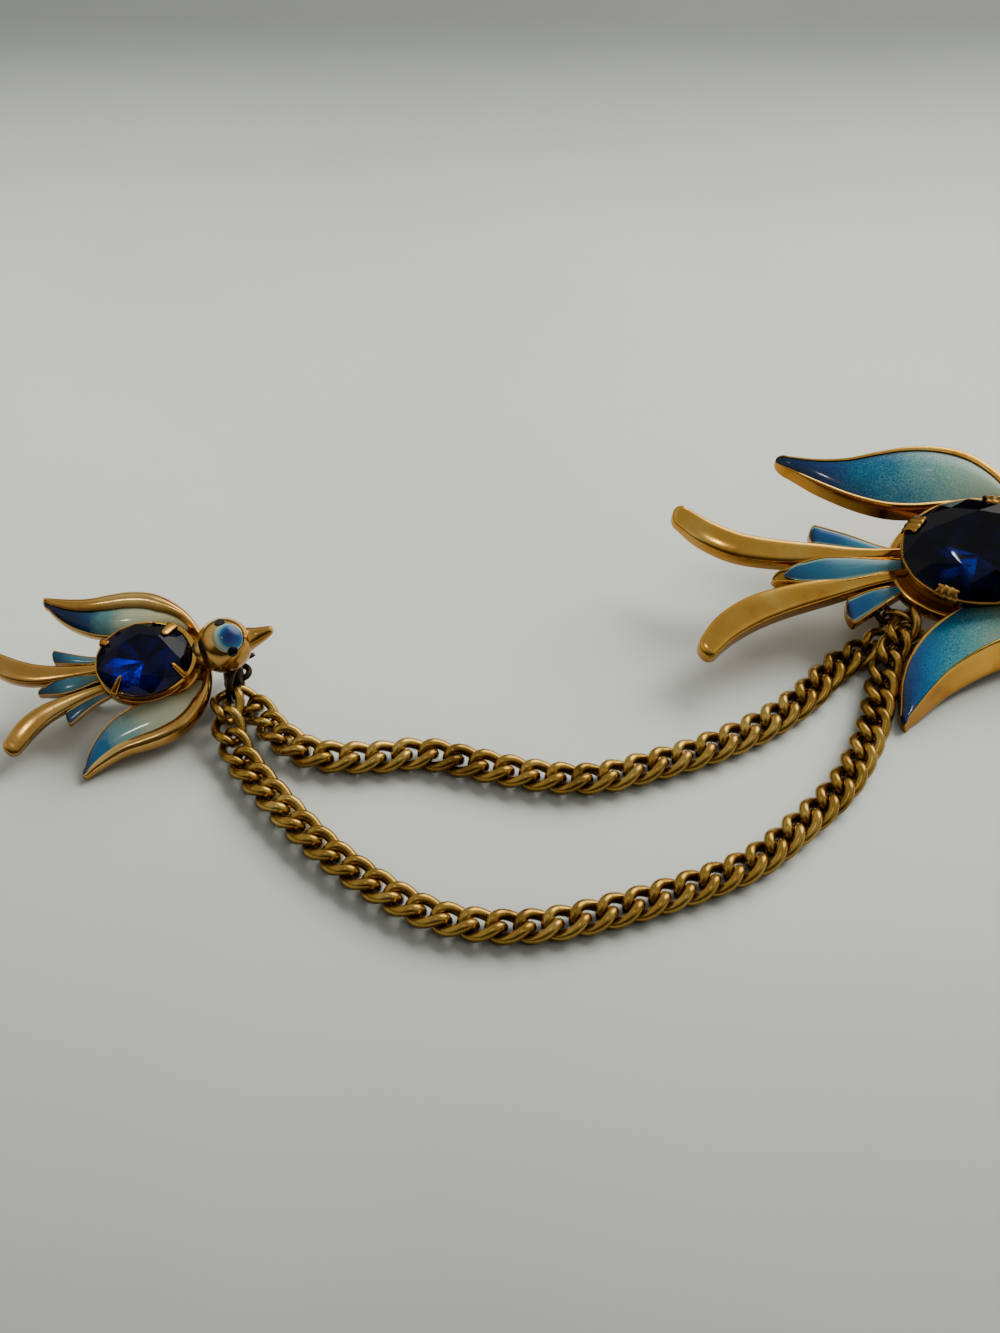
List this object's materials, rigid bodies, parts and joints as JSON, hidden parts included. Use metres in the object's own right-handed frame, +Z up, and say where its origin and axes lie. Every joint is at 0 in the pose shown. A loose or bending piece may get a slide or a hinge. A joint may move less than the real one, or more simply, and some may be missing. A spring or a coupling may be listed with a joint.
{
  "type": "bird brooch",
  "caption": "Chatelaine brooch: a large and a small enamelled swallow with faceted oval stones, each on a pin back, joined by curb chains.",
  "frame": {"origin": "middle of the footprint, on the surface that the brooch lies on", "axes": "+X from the small bird to the large one, +Y away from the picture's camera, +Z up"},
  "size_m": [0.1326, 0.063, 0.0148],
  "materials": {
    "gold": "satin gold plate with a bright crest",
    "bright_gold": "polished gold plate",
    "old_gold": "aged gold plate",
    "pin_metal": "dark worn plate",
    "blue_stone": "faceted, polished",
    "navy_stone": "faceted, polished",
    "enamel": "glossy enamel, deep blue at the tips to pale sage at the stone",
    "blue_enamel": "glossy enamel",
    "black_enamel": "glossy"
  },
  "bodies": {
    "root": {"small_casting": "gold", "small_setting": "bright_gold", "small_stone": "blue_stone", "small_left_wing_enamel": "enamel", "small_right_wing_enamel": "enamel", "small_leaf_enamel": "blue_enamel", "small_left_feather_enamel": "blue_enamel", "small_right_feather_enamel": "blue_enamel", "small_crown_enamel": "blue_enamel", "small_eyes": "black_enamel", "small_pin": "pin_metal", "small_chain_ring": "pin_metal", "large_casting": "gold", "large_setting": "bright_gold", "large_stone": "navy_stone", "large_left_wing_enamel": "enamel", "large_right_wing_enamel": "enamel", "large_leaf_enamel": "blue_enamel", "large_left_feather_enamel": "blue_enamel", "large_right_feather_enamel": "blue_enamel", "large_crown_enamel": "blue_enamel", "large_eyes": "black_enamel", "large_pin": "pin_metal", "large_chain_ring": "pin_metal", "upper_chain": "old_gold", "lower_chain": "old_gold"}
  },
  "joints": []
}
